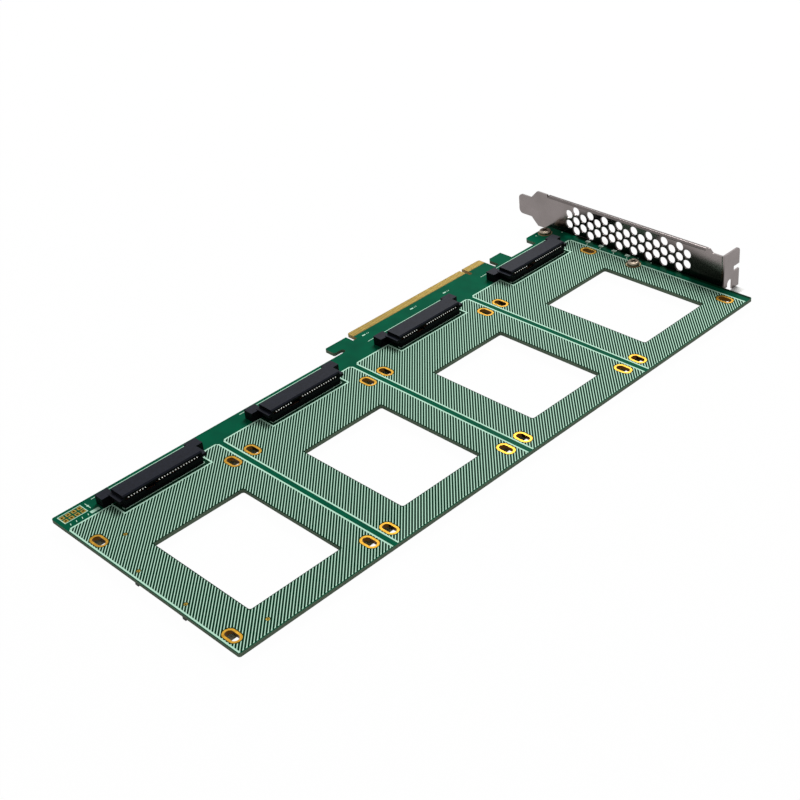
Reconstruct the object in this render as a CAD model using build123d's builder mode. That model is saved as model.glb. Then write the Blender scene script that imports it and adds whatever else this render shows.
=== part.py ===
from build123d import *
import math
import os

# A bare adapter card that carries four drives side by side, in millimetres.
# The origin is the middle of the key notch at the tip of the contact tongue, on the component face.
# +X runs to the slot bracket, +Y out of the contact edge and +Z off the component face.

# Drives and their bays, counted from the far end towards the bracket
bay_count = 4
bay_pitch = 71.43
last_bay_x = 18.99
fixing_middle_y = -74.3
fixing_spacing_x = 61.72
fixing_spacing_y = 76.6

# How far a corner may lie from the place where it is looked for
near = 0.01

# How far a profile reaches past the line where it joins or cuts its neighbour
reach_over = 1.0

# Board
board_thick = 1.57
board_corner = 1.0
far_margin = 34.95
bracket_edge_x = 58.1
free_edge_y = -121.2
main_edge_y = -10.85

# Card retention hook beside the contact tongue
hook_root_x = -83.4
hook_tip_x = -86.9
hook_side_x = -74.6
hook_top_y = -2.2
hook_slot_wide = 2.6
hook_corner = 0.6
hook_gap_floor_y = -6.8

# Contact tongue, its key notch and its contacts
tongue_far_x = -72.2
tongue_near_x = 12.2
tongue_corner = 1.0
key_wide = 1.9
key_deep = 7.2
bevel_run = 0.6
bevel_drop = 0.3
contact_pitch = 1.0
contact_first = 1.5
contact_wide = 0.7
contact_top_y = -4.2
contact_thick = 0.05
long_contacts = 71
short_contacts = 11

# Two plain tabs of the board between the tongue and the bracket
inner_tab_far_x = 14.9
inner_tab_near_x = 23.8
outer_tab_far_x = 41.2
tab_top_y = -3.6
tab_corner = 1.3

# Window under each drive, placed from the bay's middle
window_wide = 41.1
window_long = 54.5
window_shift_x = 1.55
window_shift_y = -5.75
window_corner = 1.0

# Plated fixing slots
slot_wide = 3.2
slot_long = 6.2
plating_thick = 0.03
ring_wide = 0.95

# Printed ink: one zone for each drive, hatched at 45 degrees
# The ink stands on a coat of copper and solder mask that is too thin to be a piece of its own
ink_lift = 0.04
ink_thick = 0.05
ink_gap = 0.04
border_wide = 0.65
zone_half = 34.3
zone_top = 52.6
zone_low = -46.5
zone_corner = 1.8
zone_notch_far = -15.3
zone_notch_near = 25.3
zone_notch_floor = 44.3
hatch_pitch_x = 1.5
hatch_shift_x = 0.1
hatch_wide = 0.46
hatch_turn = 45
window_margin = 0.35
ring_margin = 0.3

# Drive receptacle, placed from the bay's middle
receptacle_shift_x = 4.8
housing_half = 18.3
housing_front = 46.6
housing_back = 54.4
housing_high = 5.6
mouth_half = 17.4
mouth_low = 2.95
mouth_high = 4.25
mouth_deep = 5.0
key_step_left = -8.6
key_step_right = -3.5
key_step_floor = 2.08
front_chamfer = 0.5
back_round = 0.25
ear_near = 17.9
ear_far = 23.4
ear_front = 53.1
ear_back = 57.9
ear_high = 4.0
arm_far = 20.1
arm_front = 46.4
arm_low = 2.8
arm_high = 4.2
peg_x = 20.9
peg_y = 55.4
peg_wide = 1.6
peg_deep = 1.4
peg_clear = 0.1

# Spring contacts of a receptacle
upper_pitch = 1.27
signal_first = -15.875
signal_count = 7
power_first = -1.905
power_count = 15
lower_pitch = 0.8
key_count = 6
lower_left_first = -16.9
lower_left_count = 10
lower_right_first = -2.8
lower_right_count = 25
upper_wide = 0.5
upper_thick = 0.4
upper_front = 46.65
lower_wide = 0.35
lower_thick = 0.25
lower_front = 47.1
blade_clear = 0.05
upper_leg_back = 0.95
lower_leg_back = 0.1
upper_foot = 2.0
lower_foot = 0.5

# Slot bracket, folded from one sheet
bracket_thick = 0.86
bracket_gap = 0.15
bracket_low = -1.65
bracket_wide = 18.42
lip_top = 16.1
lip_reach = 2.0
lip_bend = 1.1
lip_end_y = -4.0
lip_start_y = -96.1
blade_tip_y = 14.5
blade_root_y = 6.6
blade_low = 2.3
blade_wide = 10.19
blade_corner = 2.2
shoulder_y = 2.6
bracket_corner = 0.8
flange_face_y = -105.52
flange_top = 15.0
flange_reach = 12.6
flange_bend = 0.6
flange_corner = 2.0
flange_leg_low = -4.2
screw_notch_low = 4.3
screw_notch_wide = 2.6
screw_notch_deep = 4.2
fork_near = 3.65
fork_wide = 3.9
fork_top = 1.5
dip_y = -99.8
dip_slope = 1.8
horn_long = 1.8

# Vent holes in the bracket: seventeen columns of two and three by turns
vent_wide = 4.25
vent_columns = 17
vent_pitch_y = 4.29
vent_pitch_z = 5.15
vent_middle_y = -51.7
vent_middle_z = 7.75

# Bracket tabs under the board and the screws that hold them
screw_x = 51.9
screw_outer_y = -7.4
screw_inner_y = -60.9
foot_wide = 9.5
foot_long = 11.0
shank_wide = 2.9
shank_clear = 0.05
board_hole_wide = 3.4
head_wide = 5.8
head_high = 1.7
head_round = 0.9
recess_wide = 0.8
recess_long = 3.2
recess_deep = 0.9
screw_past_tab = 0.6
pad_wide = 7.0

# Status lamps beside the bracket
lamp_x = 56.6
lamp_first_y = -30.2
lamp_pitch = 7.9
lamp_count = 4
lamp_base_long = 2.2
lamp_base_wide = 1.5
lamp_base_high = 0.4
lamp_dome = 0.7

# Unfitted header in the first bay, placed from that bay's middle
header_x = -28.3
header_y = 59.2
header_pitch = 2.54
header_columns = 4
header_rows = 2
header_pad = 1.85
header_hole = 1.0
header_frame_x = 10.1
header_frame_y = 5.5

# Plain printed strokes, bars and dots; the header's and the receptacles' are placed from those
fine_line = 0.3
stroke_turn = -20
front_line_gap = 0.4
side_line_long = 1.6
back_line_gap = 3.8
header_bar_gap = 1.6
header_bar_long = 4.0
header_dot_wide = 0.9
header_field_gap = 1.9
header_field_drop = 4.4
header_field_long = 3.8
header_field_high = 1.6
header_stroke_drop = 4.6
header_stroke_long = 1.2
lamp_stroke_x = 1.9
lamp_stroke_y = 1.0
lamp_stroke_long = 1.6
lamp_stroke_turn = 35
tongue_marks = [(-68.6, -7.3), (-39.6, -7.7), (-20.2, -9.3)]
tongue_mark_long = 1.8
tongue_mark_high = 0.7
tongue_stroke_xs = [1.8, 2.7]
corner_dots = [(57.7, -59.2), (57.7, -66.8), (57.1, -13.7), (46.9, -6.0)]
corner_dot_wide = 0.6

# Plated test holes in the first bay, placed from that bay's middle
test_points = [(-22.4, 33.9), (-31.5, 13.1), (-31.3, -13.9), (-18.1, -41.2)]
test_hole = 0.7
test_ring_wide = 0.35
test_point_margin = 0.25

# Parts on the solder side
edge_part_long = 1.7
edge_part_wide = 3.0
edge_part_high = 1.4
edge_part_inset = 0.2
edge_part_ys = [-63.95, -91.15]
buffer_x = -30.0
buffer_y = -22.0
buffer_wide = 5.0
buffer_high = 0.9
buffer_chamfer = 0.15
capacitor_long = 3.2
capacitor_wide = 1.6
capacitor_high = 1.2
capacitor_x = -8.0
capacitor_y = 48.0

bay_xs = [last_bay_x - (bay_count - 1 - bay) * bay_pitch for bay in range(bay_count)]
board_far_x = bay_xs[0] - far_margin
board_low = -board_thick
bracket_x = bracket_edge_x + bracket_gap
bracket_high = bracket_low + bracket_wide
foot_high = board_low
foot_low = board_low - bracket_thick
foot_end_x = bracket_x - foot_long
ring_long_out = slot_long + 2 * ring_wide
ring_wide_out = slot_wide + 2 * ring_wide
fixing_places = GridLocations(fixing_spacing_x, fixing_spacing_y, 2, 2).locations
key_first = (key_step_left + key_step_right - (key_count - 1) * lower_pitch) / 2
long_centres = [-contact_first - contact_pitch * step for step in range(long_contacts)]
short_centres = [contact_first + contact_pitch * step for step in range(short_contacts)]
contact_centres = long_centres + short_centres
contact_long = -bevel_run - contact_top_y
test_point_wide = test_hole + 2 * test_ring_wide
upper_low = mouth_high - upper_thick - blade_clear
lower_low = mouth_low + blade_clear
key_low = key_step_floor + blade_clear
signal_xs = [signal_first + upper_pitch * step for step in range(signal_count)]
power_xs = [power_first + upper_pitch * step for step in range(power_count)]
lower_left_xs = [lower_left_first + lower_pitch * step for step in range(lower_left_count)]
lower_right_xs = [lower_right_first + lower_pitch * step for step in range(lower_right_count)]
key_xs = [key_first + lower_pitch * step for step in range(key_count)]
blade_rows = [(lower_left_xs + lower_right_xs, lower_low), (key_xs, key_low)]
screw_places = [(screw_x, screw_outer_y), (screw_x, screw_inner_y)]
lamp_ys = [lamp_first_y - lamp_pitch * step for step in range(lamp_count)]

os.makedirs("parts", exist_ok=True)


def bay_plane(bay, height=0.0):
    """The plane of a bay: its origin is the middle of the drive's four fixing slots."""
    return Plane(origin=(bay_xs[bay], fixing_middle_y, height))


def receptacle_plane(bay, height=0.0):
    """The plane of a bay's receptacle, moved sideways to the connector's own middle."""
    return Plane(origin=(bay_xs[bay] + receptacle_shift_x, fixing_middle_y, height))


def across_plane(y):
    """The upright plane at one y, with +X to the right and +Z up; it extrudes towards -Y."""
    return Plane.XZ.offset(-y)


def finish(piece, name):
    """Labels a finished piece and writes it."""
    piece.part.label = name
    export_step(piece.part, f"parts/{name}.step")


# Board
with BuildPart() as board:
    with BuildSketch(Plane.XY.offset(board_low)) as outline:
        with Locations((board_far_x, free_edge_y)):
            Rectangle(bracket_edge_x - board_far_x, main_edge_y - free_edge_y, align=Align.MIN)
        fillet(outline.vertices(), board_corner)
        join_y = main_edge_y - board_corner - reach_over
        with Locations((hook_tip_x, join_y)):
            Rectangle(hook_side_x - hook_tip_x, hook_top_y - join_y, align=Align.MIN)
        with Locations((tongue_far_x, join_y)):
            Rectangle(tongue_near_x - tongue_far_x, -join_y, align=Align.MIN)
        hook_gap_wide = tongue_far_x - hook_side_x
        with Locations((hook_side_x - reach_over, join_y)):
            Rectangle(hook_gap_wide + 2 * reach_over, hook_gap_floor_y - join_y, align=Align.MIN)
        with Locations((inner_tab_far_x, join_y)):
            Rectangle(inner_tab_near_x - inner_tab_far_x, tab_top_y - join_y, align=Align.MIN)
        with Locations((outer_tab_far_x, join_y)):
            Rectangle(bracket_edge_x - outer_tab_far_x, tab_top_y - join_y, align=Align.MIN)
        with Locations((hook_root_x, main_edge_y + hook_slot_wide / 2)):
            Circle(hook_slot_wide / 2, mode=Mode.SUBTRACT)
        with Locations((hook_root_x, main_edge_y)):
            Rectangle(
                hook_root_x - hook_tip_x + reach_over,
                hook_slot_wide,
                align=(Align.MAX, Align.MIN),
                mode=Mode.SUBTRACT,
            )
        hook_corners = outline.vertices().filter_by_position(Axis.X, hook_tip_x - near, hook_tip_x + near)
        chamfer(hook_corners, hook_corner)
        top_corners = outline.vertices().filter_by_position(Axis.Y, -near, near)
        chamfer(top_corners, tongue_corner)
        for tab_x in (inner_tab_far_x, outer_tab_far_x):
            tab_corners = outline.vertices().filter_by_position(Axis.X, tab_x - near, tab_x + near)
            chamfer(tab_corners.sort_by(Axis.Y)[-1], tab_corner)
        with Locations((0, key_wide / 2 - key_deep)):
            Circle(key_wide / 2, mode=Mode.SUBTRACT)
            Rectangle(key_wide, key_deep, align=(Align.CENTER, Align.MIN), mode=Mode.SUBTRACT)
        for bay in range(bay_count):
            with Locations((bay_xs[bay] + window_shift_x, fixing_middle_y + window_shift_y)):
                RectangleRounded(window_wide, window_long, window_corner, mode=Mode.SUBTRACT)
            for place in fixing_places:
                with Locations((bay_xs[bay] + place.position.X, fixing_middle_y + place.position.Y)):
                    SlotOverall(
                        slot_long + 2 * plating_thick,
                        slot_wide + 2 * plating_thick,
                        rotation=90,
                        mode=Mode.SUBTRACT,
                    )
            with Locations(
                (bay_xs[bay] + receptacle_shift_x - peg_x, fixing_middle_y + peg_y),
                (bay_xs[bay] + receptacle_shift_x + peg_x, fixing_middle_y + peg_y),
            ):
                Circle(peg_wide / 2 + peg_clear / 2, mode=Mode.SUBTRACT)
        with Locations(*screw_places):
            Circle(board_hole_wide / 2, mode=Mode.SUBTRACT)
        with Locations((bay_xs[0] + header_x, fixing_middle_y + header_y)):
            with GridLocations(header_pitch, header_pitch, header_columns, header_rows):
                Circle(header_hole / 2 + plating_thick, mode=Mode.SUBTRACT)
        with Locations((bay_xs[0], fixing_middle_y)):
            with Locations(*test_points):
                Circle(test_hole / 2 + plating_thick, mode=Mode.SUBTRACT)
    extrude(amount=board_thick)
    with BuildSketch(Plane.YZ.offset(tongue_far_x)):
        with BuildLine():
            Polyline((-bevel_run, 0), (0, -bevel_drop), (0, 0), close=True)
        make_face()
        with BuildLine():
            Polyline(
                (-bevel_run, board_low), (0, board_low + bevel_drop), (0, board_low), close=True
            )
        make_face()
    extrude(amount=tongue_near_x - tongue_far_x, mode=Mode.SUBTRACT)
finish(board, "board")

# Gold contacts on both faces of the tongue
for face_name, contact_low in (("front", 0), ("back", board_low - contact_thick)):
    with BuildPart() as edge_contacts:
        with BuildSketch(Plane.XY.offset(contact_low)):
            with Locations(*[(x, contact_top_y) for x in contact_centres]):
                Rectangle(contact_wide, contact_long, align=(Align.CENTER, Align.MIN))
        extrude(amount=contact_thick)
    finish(edge_contacts, f"edge_contacts_{face_name}")

# Plated fixing slots, a barrel with a flat ring on each face
for bay in range(bay_count):
    with BuildPart() as plated_slots:
        with BuildSketch(bay_plane(bay, board_low - plating_thick), bay_plane(bay)):
            with GridLocations(fixing_spacing_x, fixing_spacing_y, 2, 2):
                SlotOverall(ring_long_out, ring_wide_out, rotation=90)
        extrude(amount=plating_thick)
        with BuildSketch(bay_plane(bay, board_low)):
            with GridLocations(fixing_spacing_x, fixing_spacing_y, 2, 2):
                SlotOverall(slot_long + 2 * plating_thick, slot_wide + 2 * plating_thick, rotation=90)
        extrude(amount=board_thick)
        with BuildSketch(bay_plane(bay, board_low - plating_thick)):
            with GridLocations(fixing_spacing_x, fixing_spacing_y, 2, 2):
                SlotOverall(slot_long, slot_wide, rotation=90)
        extrude(amount=board_thick + 2 * plating_thick, mode=Mode.SUBTRACT)
    finish(plated_slots, f"plated_slots_{bay + 1}")

# Printed zones: a border line that steps round the receptacle, and a diagonal hatch inside it
# Round corners and clearings in the ink are cut as flats of an octagon, far fewer faces than arcs
half_line = border_wide / 2
octagon_cut = 2 - math.sqrt(2)
octagon_sides = 8


def zone_shape(grow):
    """The zone of one drive, grown outwards or inwards from the middle of its border line."""
    with BuildSketch() as zone:
        with Locations((-zone_half - grow, zone_low)):
            Rectangle(2 * (zone_half + grow), zone_top + grow - zone_low, align=Align.MIN)
        chamfer(zone.vertices().group_by(Axis.Y)[-1], (zone_corner + grow) * octagon_cut)
        with Locations((zone_notch_far + grow, zone_notch_floor + grow)):
            Rectangle(
                zone_notch_near - zone_notch_far - 2 * grow,
                zone_top - zone_notch_floor,
                align=Align.MIN,
                mode=Mode.SUBTRACT,
            )
    return zone.sketch


zone_outside = zone_shape(half_line)
zone_inside = zone_shape(-half_line)
zone_hatched = zone_shape(-half_line - ink_gap)
stripe_long = 2 * (zone_top - zone_low)
stripe_reach = int((zone_half + zone_top) / hatch_pitch_x) + 1
stripe_steps = range(-stripe_reach, stripe_reach + 1)

with BuildSketch() as stripes:
    with Locations(*[(hatch_shift_x + step * hatch_pitch_x, 0) for step in stripe_steps]):
        Rectangle(stripe_long, hatch_wide, rotation=hatch_turn)

with BuildSketch(mode=Mode.PRIVATE) as clearing:
    Rectangle(ring_wide_out + 2 * ring_margin, ring_long_out + 2 * ring_margin)
    chamfer(clearing.vertices(), (ring_wide_out / 2 + ring_margin) * octagon_cut)
ring_clearing = clearing.sketch

with BuildSketch(mode=Mode.PRIVATE) as clearing:
    RegularPolygon(pad_wide / 2 + ring_margin, octagon_sides, major_radius=False)
screw_clearing = clearing.sketch

for bay in range(bay_count):
    with BuildSketch() as hatch:
        add(zone_hatched)
        with Locations((window_shift_x, window_shift_y)):
            Rectangle(
                window_wide + 2 * window_margin,
                window_long + 2 * window_margin,
                mode=Mode.SUBTRACT,
            )
        with GridLocations(fixing_spacing_x, fixing_spacing_y, 2, 2):
            add(ring_clearing, mode=Mode.SUBTRACT)
        if bay == 0:
            with Locations(*test_points):
                RegularPolygon(
                    test_point_wide / 2 + test_point_margin,
                    octagon_sides,
                    major_radius=False,
                    mode=Mode.SUBTRACT,
                )
        if bay == bay_count - 1:
            with Locations((screw_x - bay_xs[bay], screw_inner_y - fixing_middle_y)):
                add(screw_clearing, mode=Mode.SUBTRACT)
        add(stripes.sketch, mode=Mode.INTERSECT)
    with BuildPart() as drive_print:
        with BuildSketch(bay_plane(bay, ink_lift)):
            add(zone_outside)
            add(zone_inside, mode=Mode.SUBTRACT)
            if bay == bay_count - 1:
                with Locations((screw_x - bay_xs[bay], screw_inner_y - fixing_middle_y)):
                    add(screw_clearing, mode=Mode.SUBTRACT)
            add(hatch.sketch)
        extrude(amount=ink_thick)
    finish(drive_print, f"drive_print_{bay + 1}")

# Other marks: lines round each receptacle, the header's frame, strokes at the lamps and plain dots
with BuildPart() as board_print:
    for bay in range(bay_count):
        with BuildSketch(receptacle_plane(bay, ink_lift)):
            with Locations((0, housing_front - front_line_gap)):
                Rectangle(2 * housing_half, fine_line)
                for side in (-1, 1):
                    with Locations((side * (housing_half + fine_line), fine_line / 2)):
                        Rectangle(fine_line, side_line_long, align=(Align.CENTER, Align.MIN))
            with Locations((0, ear_back + back_line_gap)):
                Rectangle(2 * ear_far, fine_line)
        extrude(amount=ink_thick)
    with BuildSketch(bay_plane(0, ink_lift)):
        with Locations((header_x, header_y)):
            Rectangle(header_frame_x, header_frame_y)
            Rectangle(header_frame_x - 2 * fine_line, header_frame_y - 2 * fine_line, mode=Mode.SUBTRACT)
        with Locations((header_x + header_frame_x / 2 + header_bar_gap, header_y)):
            Rectangle(fine_line, header_bar_long)
            RegularPolygon(header_dot_wide / 2, octagon_sides, major_radius=False)
        with Locations((header_x + header_frame_x / 2 + header_field_gap, header_y - header_field_drop)):
            Rectangle(header_field_long, header_field_high)
        with Locations((header_x, header_y - header_stroke_drop)):
            with GridLocations(header_pitch, header_pitch, header_columns, 1):
                Rectangle(fine_line, header_stroke_long, rotation=stroke_turn)
    extrude(amount=ink_thick)
    with BuildSketch(Plane.XY.offset(ink_lift)):
        with Locations(*[(lamp_x - lamp_stroke_x, y - lamp_stroke_y) for y in lamp_ys]):
            Rectangle(lamp_stroke_long, fine_line, rotation=lamp_stroke_turn)
        with Locations(*tongue_marks):
            Rectangle(tongue_mark_long, tongue_mark_high)
            with Locations(*[(stroke_x, 0) for stroke_x in tongue_stroke_xs]):
                Rectangle(fine_line, tongue_mark_high, rotation=stroke_turn)
        with Locations(*corner_dots):
            Rectangle(corner_dot_wide, corner_dot_wide)
    extrude(amount=ink_thick)
finish(board_print, "board_print")

# Receptacles: one moulded housing each, with a stepped mouth towards the drive and two guide arms
for bay in range(bay_count):
    with BuildPart() as housing:
        with BuildSketch(receptacle_plane(bay)):
            with Locations((-housing_half, housing_front)):
                Rectangle(2 * housing_half, housing_back - housing_front, align=Align.MIN)
        extrude(amount=housing_high)
        front_top = housing.edges().filter_by(Axis.X).group_by(Axis.Z)[-1].sort_by(Axis.Y)[0]
        back_top = housing.edges().filter_by(Axis.X).group_by(Axis.Z)[-1].sort_by(Axis.Y)[-1]
        chamfer(front_top, front_chamfer)
        fillet(back_top, back_round)
        for side in (-1, 1):
            with BuildSketch(receptacle_plane(bay)):
                with Locations((side * (ear_near + ear_far) / 2, ear_front)):
                    Rectangle(ear_far - ear_near, ear_back - ear_front, align=(Align.CENTER, Align.MIN))
            extrude(amount=ear_high)
            with BuildSketch(receptacle_plane(bay, arm_low)):
                with Locations((side * (housing_half + arm_far) / 2, arm_front)):
                    Rectangle(
                        arm_far - housing_half,
                        ear_front - arm_front + reach_over,
                        align=(Align.CENTER, Align.MIN),
                    )
            extrude(amount=arm_high - arm_low)
            with BuildSketch(receptacle_plane(bay, -peg_deep)):
                with Locations((side * peg_x, peg_y)):
                    Circle((peg_wide if side < 0 else peg_wide - peg_clear) / 2)
            extrude(amount=peg_deep)
        with BuildSketch(receptacle_plane(bay, mouth_low)):
            with Locations((-mouth_half, housing_front - reach_over)):
                Rectangle(2 * mouth_half, mouth_deep + reach_over, align=Align.MIN)
        extrude(amount=mouth_high - mouth_low, mode=Mode.SUBTRACT)
        with BuildSketch(receptacle_plane(bay, key_step_floor)):
            with Locations((key_step_left, housing_front - reach_over)):
                Rectangle(key_step_right - key_step_left, mouth_deep + reach_over, align=Align.MIN)
        extrude(amount=mouth_low - key_step_floor, mode=Mode.SUBTRACT)
        middle_x = bay_xs[bay] + receptacle_shift_x
        with BuildSketch(across_plane(fixing_middle_y + housing_back)):
            with Locations(*[(middle_x + x, upper_low + upper_thick / 2) for x in signal_xs + power_xs]):
                Rectangle(upper_wide + 2 * blade_clear, upper_thick + 2 * blade_clear)
            for centres, low in blade_rows:
                with Locations(*[(middle_x + x, low + lower_thick / 2) for x in centres]):
                    Rectangle(lower_wide + 2 * blade_clear, lower_thick + 2 * blade_clear)
        extrude(amount=housing_back - housing_front - mouth_deep, mode=Mode.SUBTRACT)
    finish(housing, f"receptacle_housing_{bay + 1}")


def contact_sides(planes, front, low, thick, leg, foot):
    """Side views of a row: a blade in the mouth, a leg behind the housing and a foot on the board."""
    front_y = fixing_middle_y + front
    leg_y = fixing_middle_y + housing_back + leg
    toe_y = leg_y + foot
    with BuildSketch(*planes) as contact_profile:
        with BuildLine():
            Polyline(
                (front_y, low),
                (leg_y, low),
                (leg_y, 0),
                (toe_y, 0),
                (toe_y, thick),
                (leg_y + thick, thick),
                (leg_y + thick, low + thick),
                (front_y, low + thick),
                close=True,
            )
        make_face()
    return contact_profile.sketch


# Spring contacts of each receptacle
for bay in range(bay_count):
    middle_x = bay_xs[bay] + receptacle_shift_x
    upper_planes = [Plane.YZ.offset(middle_x + x - upper_wide / 2) for x in signal_xs + power_xs]
    with BuildPart() as contacts:
        extrude(
            contact_sides(upper_planes, upper_front, upper_low, upper_thick, upper_leg_back, upper_foot),
            amount=upper_wide,
        )
        for centres, low in blade_rows:
            lower_planes = [Plane.YZ.offset(middle_x + x - lower_wide / 2) for x in centres]
            extrude(
                contact_sides(lower_planes, lower_front, low, lower_thick, lower_leg_back, lower_foot),
                amount=lower_wide,
            )
    finish(contacts, f"receptacle_contacts_{bay + 1}")

# Slot bracket: plate and flange folded from one strip, a lip rolled outwards, two feet under the board
with BuildPart() as bracket:
    with BuildSketch(Plane.XY.offset(flange_leg_low)) as plan:
        with BuildLine():
            Polyline(
                (bracket_x, blade_tip_y),
                (bracket_x + bracket_thick, blade_tip_y),
                (bracket_x + bracket_thick, flange_face_y + bracket_thick),
                (bracket_x + flange_reach, flange_face_y + bracket_thick),
                (bracket_x + flange_reach, flange_face_y),
                (bracket_x, flange_face_y),
                close=True,
            )
        make_face()
        outer_bend = plan.vertices().filter_by_position(Axis.Y, flange_face_y - near, flange_face_y + near)
        fillet(outer_bend.sort_by(Axis.X)[0], flange_bend + bracket_thick)
        inner_y = flange_face_y + bracket_thick
        inner_bend = plan.vertices().filter_by_position(Axis.Y, inner_y - near, inner_y + near)
        fillet(inner_bend.sort_by(Axis.X)[0], flange_bend)
    extrude(amount=bracket_high - flange_leg_low)
    with BuildSketch(Plane.YZ) as side:
        with BuildLine():
            Polyline(
                (blade_tip_y, blade_low),
                (blade_tip_y, blade_low + blade_wide),
                (blade_root_y, blade_low + blade_wide),
                (shoulder_y, bracket_high),
                (lip_end_y, bracket_high),
                (lip_end_y, lip_top - lip_bend),
                (lip_start_y, lip_top - lip_bend),
                (lip_start_y, bracket_high),
                (lip_start_y - horn_long, bracket_high),
                (lip_start_y - horn_long - dip_slope, flange_top),
                (flange_face_y, flange_top),
                (flange_face_y, flange_leg_low),
                (flange_face_y + bracket_thick + flange_bend, flange_leg_low),
                (flange_face_y + bracket_thick + flange_bend, bracket_low),
                (shoulder_y, bracket_low),
                (blade_root_y, blade_low),
                close=True,
            )
        make_face()
        tip_corners = side.vertices().group_by(Axis.X)[-1]
        fillet(tip_corners, blade_corner)
        shoulder_corners = side.vertices().filter_by_position(Axis.X, shoulder_y - near, shoulder_y + near)
        fillet(shoulder_corners, bracket_corner)
        horn_y = lip_start_y - horn_long
        horn_corners = side.vertices().filter_by_position(Axis.X, horn_y - dip_slope - near, horn_y + near)
        fillet(horn_corners, bracket_corner)
    extrude(amount=bracket_x + flange_reach, mode=Mode.INTERSECT)
    with BuildSketch(across_plane(lip_end_y)):
        with BuildLine():
            lip_foot_z = lip_top - lip_bend - reach_over
            lip_side = Line((bracket_x, lip_foot_z), (bracket_x, lip_top - lip_bend))
            lip_roll = RadiusArc(lip_side @ 1, (bracket_x + lip_bend, lip_top), lip_bend)
            Polyline(
                lip_roll @ 1,
                (bracket_x + lip_reach, lip_top),
                (bracket_x + lip_reach, lip_top - bracket_thick),
                (bracket_x + bracket_thick, lip_top - bracket_thick),
                (bracket_x + bracket_thick, lip_foot_z),
                lip_side @ 0,
            )
        make_face()
    extrude(amount=lip_end_y - lip_start_y)
    for foot_y in (screw_outer_y, screw_inner_y):
        with BuildSketch(across_plane(foot_y + foot_wide / 2)):
            with BuildLine():
                fold_side = Line((bracket_x, 0), (bracket_x, foot_high + bracket_gap))
                fold_in = RadiusArc(fold_side @ 1, (bracket_x - bracket_gap, foot_high), bracket_gap)
                foot_line = Polyline(
                    fold_in @ 1,
                    (foot_end_x, foot_high),
                    (foot_end_x, foot_low),
                    (bracket_x - bracket_gap, foot_low),
                )
                fold_out = RadiusArc(
                    foot_line @ 1,
                    (bracket_x + bracket_thick, foot_high + bracket_gap),
                    -bracket_gap - bracket_thick,
                )
                Polyline(fold_out @ 1, (bracket_x + bracket_thick, 0), fold_side @ 0)
            make_face()
        extrude(amount=foot_wide)
    with BuildSketch(Plane.XY.offset(foot_low)):
        with Locations(*screw_places):
            Circle(shank_wide / 2 + shank_clear)
    extrude(amount=bracket_thick, mode=Mode.SUBTRACT)
    with BuildSketch(Plane.YZ.offset(bracket_x)):
        for column in range(vent_columns):
            column_y = vent_middle_y + (column - (vent_columns - 1) / 2) * vent_pitch_y
            with Locations((column_y, vent_middle_z)):
                with GridLocations(1, vent_pitch_z, 1, 2 + column % 2):
                    Circle(vent_wide / 2)
    extrude(amount=bracket_thick, mode=Mode.SUBTRACT)
    with BuildSketch(across_plane(flange_face_y + bracket_thick)):
        with Locations((bracket_x + flange_reach, screw_notch_low)):
            Rectangle(screw_notch_deep, screw_notch_wide, align=(Align.MAX, Align.MIN))
        with Locations((bracket_x + fork_near + fork_wide / 2, fork_top - fork_wide / 2)):
            Circle(fork_wide / 2)
            Rectangle(fork_wide, bracket_high, align=(Align.CENTER, Align.MAX))
        with Locations((bracket_x - near, bracket_low)):
            Rectangle(fork_near + fork_wide / 2, bracket_high, align=(Align.MIN, Align.MAX))
    extrude(amount=bracket_thick, mode=Mode.SUBTRACT)
    with BuildSketch(Plane.XY.offset(flange_leg_low)):
        with Locations((bracket_x - near, flange_face_y)):
            Rectangle(
                bracket_thick + flange_bend + near,
                bracket_thick + flange_bend,
                align=Align.MIN,
            )
    extrude(amount=bracket_low - flange_leg_low, mode=Mode.SUBTRACT)
    corner_edges = bracket.edges().filter_by(Axis.Y).group_by(Axis.X)[-1]
    fillet(corner_edges.sort_by(Axis.Z)[-1], flange_corner)
finish(bracket, "bracket")

# Pan-head screws through the board into the bracket's feet, and the bare pads under their heads
with BuildPart() as bracket_screws:
    for place_x, place_y in screw_places:
        with BuildSketch(Plane.XY.offset(plating_thick)):
            with Locations((place_x, place_y)):
                Circle(head_wide / 2)
        extrude(amount=head_high)
        with BuildSketch(Plane.XY.offset(plating_thick)):
            with Locations((place_x, place_y)):
                Circle(shank_wide / 2)
        extrude(amount=foot_low - screw_past_tab - plating_thick)
    fillet(bracket_screws.edges().filter_by(GeomType.CIRCLE).group_by(Axis.Z)[-1], head_round)
    with BuildSketch(Plane.XY.offset(plating_thick + head_high)):
        with Locations(*screw_places):
            Rectangle(recess_long, recess_wide)
            Rectangle(recess_wide, recess_long)
    extrude(amount=-recess_deep, mode=Mode.SUBTRACT)
finish(bracket_screws, "bracket_screws")

with BuildPart() as screw_pads:
    with BuildSketch(Plane.XY):
        with Locations(*screw_places):
            Circle(pad_wide / 2)
            Circle(board_hole_wide / 2, mode=Mode.SUBTRACT)
    extrude(amount=plating_thick)
finish(screw_pads, "screw_pads")

# Status lamps: a flat base with a small dome towards the bracket
with BuildPart() as status_lamps:
    with BuildSketch(Plane.XY):
        with Locations(*[(lamp_x, y) for y in lamp_ys]):
            Rectangle(lamp_base_wide, lamp_base_long)
    extrude(amount=lamp_base_high)
    with Locations(*[(lamp_x, y, lamp_base_high) for y in lamp_ys]):
        Sphere(lamp_dome, arc_size1=0)
finish(status_lamps, "status_lamps")

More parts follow.
